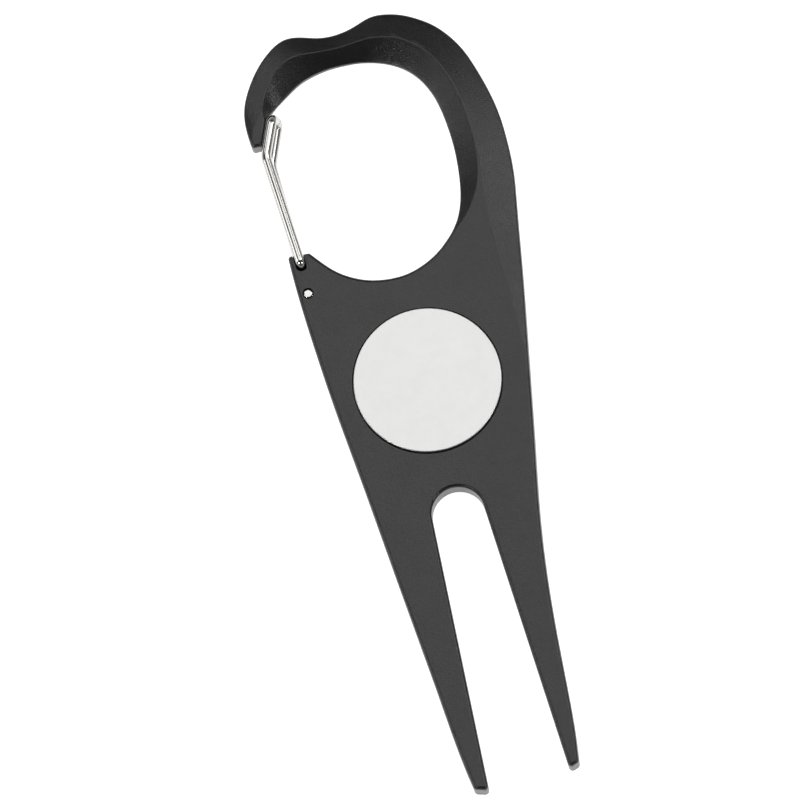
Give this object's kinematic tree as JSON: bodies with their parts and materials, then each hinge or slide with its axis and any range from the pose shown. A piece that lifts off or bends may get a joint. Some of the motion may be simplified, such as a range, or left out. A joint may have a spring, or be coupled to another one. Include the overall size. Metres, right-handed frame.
{
  "type": "divot repair tool",
  "caption": "Forked golf divot repair tool with a carabiner hook, sprung wire gate and a magnetically held ball-marker disc.",
  "frame": {"origin": "middle of the bounding box, at the level that the tool lies on", "axes": "+Z out of the face that carries the ball marker, +Y from the prong tips to the hook, +X to the hook's closed side"},
  "size_m": [0.0322, 0.1034, 0.004],
  "materials": {
    "frame_black": "bead-blasted and black anodised",
    "magnet_nickel": "nickel-plated neodymium",
    "adhesive": "cured epoxy film",
    "marker_nickel": "satin nickel-plated steel",
    "gate_steel": "polished stainless spring wire"
  },
  "bodies": {
    "tool_body": {"frame": "frame_black", "marker_magnet": "magnet_nickel", "magnet_adhesive": "adhesive"},
    "gate_rear": {"gate_wire_rear": "gate_steel"},
    "gate_front": {"gate_wire_front": "gate_steel"},
    "marker": {"ball_marker": "marker_nickel"}
  },
  "joints": [
    {"name": "gate_rear_hinge", "type": "hinge", "parent": "tool_body", "child": "gate_rear", "pos_m": [-0.01359, 0.01777, 0.00202], "axis": [0, 0, -1], "range_deg": [0, 18], "stiffness_Nm_per_rad": 0.06, "springref_deg": -5.73},
    {"name": "gate_front_hinge", "type": "hinge", "parent": "tool_body", "child": "gate_front", "pos_m": [-0.01353, 0.02162, 0.00202], "axis": [0, 0, -1], "range_deg": [0, 21.6]},
    {"name": "marker_lift", "type": "slide", "parent": "tool_body", "child": "marker", "axis": [0, 0, 1], "range_m": [0, 0.012]}
  ],
  "couplings": [
    {"joint": "gate_front_hinge", "follows": "gate_rear_hinge", "ratio": 1.195}
  ]
}
